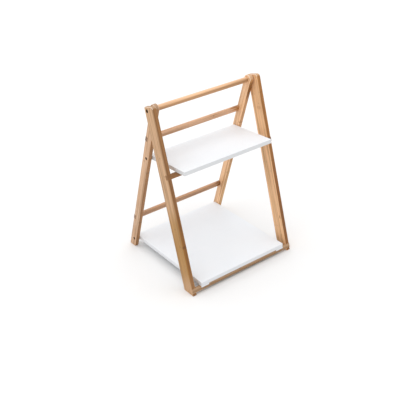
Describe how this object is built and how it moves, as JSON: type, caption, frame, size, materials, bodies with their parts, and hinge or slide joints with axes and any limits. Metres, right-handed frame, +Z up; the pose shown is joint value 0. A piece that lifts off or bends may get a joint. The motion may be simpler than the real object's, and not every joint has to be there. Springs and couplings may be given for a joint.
{
  "type": "ladder shelf",
  "caption": "Folding two-tier A-frame shelf: wide wooden front legs hinged to narrower rear legs at a round top rail, with white boards pinned at the back and resting on front rungs.",
  "frame": {"origin": "on the floor, under the centre of the overall footprint", "axes": "+Z up, the front of the shelf is -Y, +X to the right of a viewer facing the front"},
  "size_m": [0.38, 0.3585, 0.5375],
  "materials": {
    "bamboo": "satin lacquered bamboo, straight grain along each piece",
    "rung_bamboo": "matte brown bamboo",
    "white_board": "white matte laminate",
    "white_clip": "white moulded plastic",
    "hardware": "dull dark plated steel"
  },
  "bodies": {
    "front_frame": {"front_leg_left": "bamboo", "front_leg_right": "bamboo", "front_upper_rung": "rung_bamboo", "front_lower_rung": "rung_bamboo"},
    "rear_frame": {"rear_leg_left": "bamboo", "rear_leg_right": "bamboo", "top_rail": "bamboo", "rear_upper_rung": "rung_bamboo", "rear_lower_rung": "rung_bamboo", "pivot_bolt_left": "hardware", "pivot_bolt_right": "hardware", "pivot_washer_left": "hardware", "pivot_washer_right": "hardware"},
    "upper_shelf": {"upper_board": "white_board", "upper_pin_left": "hardware", "upper_pin_right": "hardware"},
    "lower_shelf": {"lower_board": "white_board", "lower_clip_left": "white_clip", "lower_clip_right": "white_clip", "lower_pin_left": "hardware", "lower_pin_right": "hardware"}
  },
  "joints": [
    {"name": "frame_fold", "type": "hinge", "parent": "front_frame", "child": "rear_frame", "pos_m": [0, -0.00237, 0.52], "axis": [-1, 0, 0], "range_deg": [0, 33.5]},
    {"name": "upper_shelf_fold", "type": "hinge", "parent": "rear_frame", "child": "upper_shelf", "pos_m": [0, 0.04571, 0.35328], "axis": [-1, 0, 0], "range_deg": [0, 68.3]},
    {"name": "lower_shelf_fold", "type": "hinge", "parent": "rear_frame", "child": "lower_shelf", "pos_m": [0, 0.15246, 0.02857], "axis": [-1, 0, 0], "range_deg": [0, 71.5]}
  ]
}
